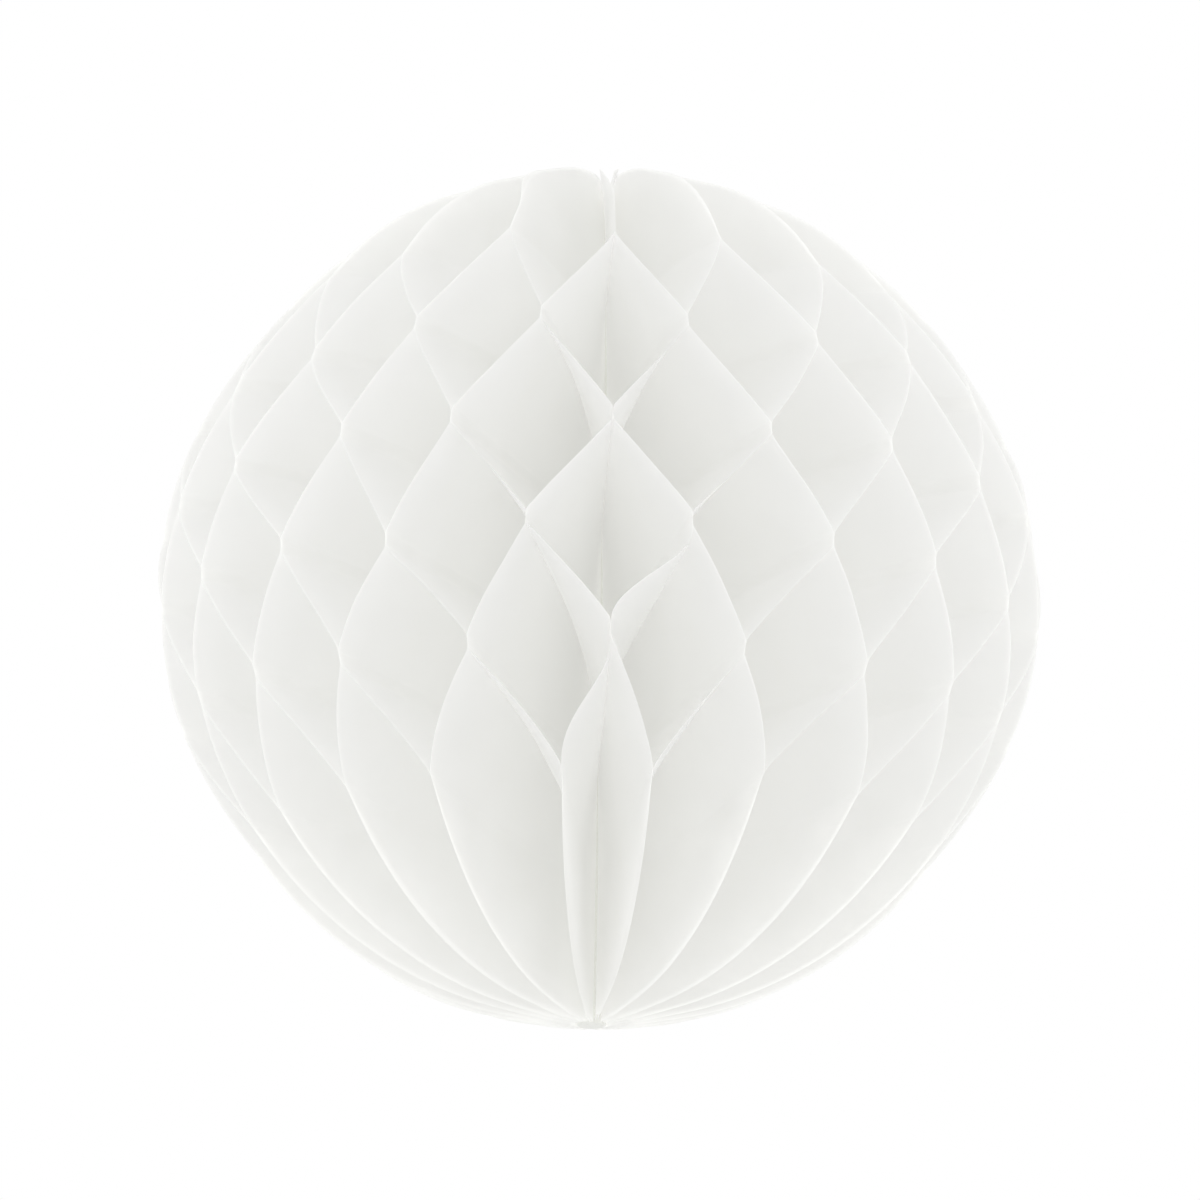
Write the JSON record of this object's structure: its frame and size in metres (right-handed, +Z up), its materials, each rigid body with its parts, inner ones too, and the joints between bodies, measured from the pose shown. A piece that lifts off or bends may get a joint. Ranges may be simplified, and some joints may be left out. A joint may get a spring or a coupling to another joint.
{
  "type": "honeycomb paper ball",
  "caption": "Hanging honeycomb ball: half-round tissue paper sheets stand around an upright glued spine and are joined in rows of narrow glue stripes into lozenge cells.",
  "frame": {"origin": "middle of the ball, half way along its spine", "axes": "+Z up along the spine, towards the end that it hangs from; -Y to the front, where a glued pair of the top row faces the viewer"},
  "size_m": [0.0998, 0.0998, 0.0982],
  "materials": {
    "white_tissue": "matt, soft, slightly see-through white tissue",
    "spine_glue": "matt glued paper edges"
  },
  "bodies": {
    "root": {"spine_binding": "spine_glue", "tissue_sheet_01": "white_tissue", "tissue_sheet_02": "white_tissue", "tissue_sheet_03": "white_tissue", "tissue_sheet_04": "white_tissue", "tissue_sheet_05": "white_tissue", "tissue_sheet_06": "white_tissue", "tissue_sheet_07": "white_tissue", "tissue_sheet_08": "white_tissue", "tissue_sheet_09": "white_tissue", "tissue_sheet_10": "white_tissue", "tissue_sheet_11": "white_tissue", "tissue_sheet_12": "white_tissue", "tissue_sheet_13": "white_tissue", "tissue_sheet_14": "white_tissue", "tissue_sheet_15": "white_tissue", "tissue_sheet_16": "white_tissue", "tissue_sheet_17": "white_tissue", "tissue_sheet_18": "white_tissue", "tissue_sheet_19": "white_tissue", "tissue_sheet_20": "white_tissue", "tissue_sheet_21": "white_tissue", "tissue_sheet_22": "white_tissue", "tissue_sheet_23": "white_tissue", "tissue_sheet_24": "white_tissue", "tissue_sheet_25": "white_tissue", "tissue_sheet_26": "white_tissue", "tissue_sheet_27": "white_tissue", "tissue_sheet_28": "white_tissue", "tissue_sheet_29": "white_tissue", "tissue_sheet_30": "white_tissue", "tissue_sheet_31": "white_tissue", "tissue_sheet_32": "white_tissue", "tissue_sheet_33": "white_tissue", "tissue_sheet_34": "white_tissue", "tissue_sheet_35": "white_tissue", "tissue_sheet_36": "white_tissue", "tissue_sheet_37": "white_tissue", "tissue_sheet_38": "white_tissue", "tissue_sheet_39": "white_tissue", "tissue_sheet_40": "white_tissue"}
  },
  "joints": []
}
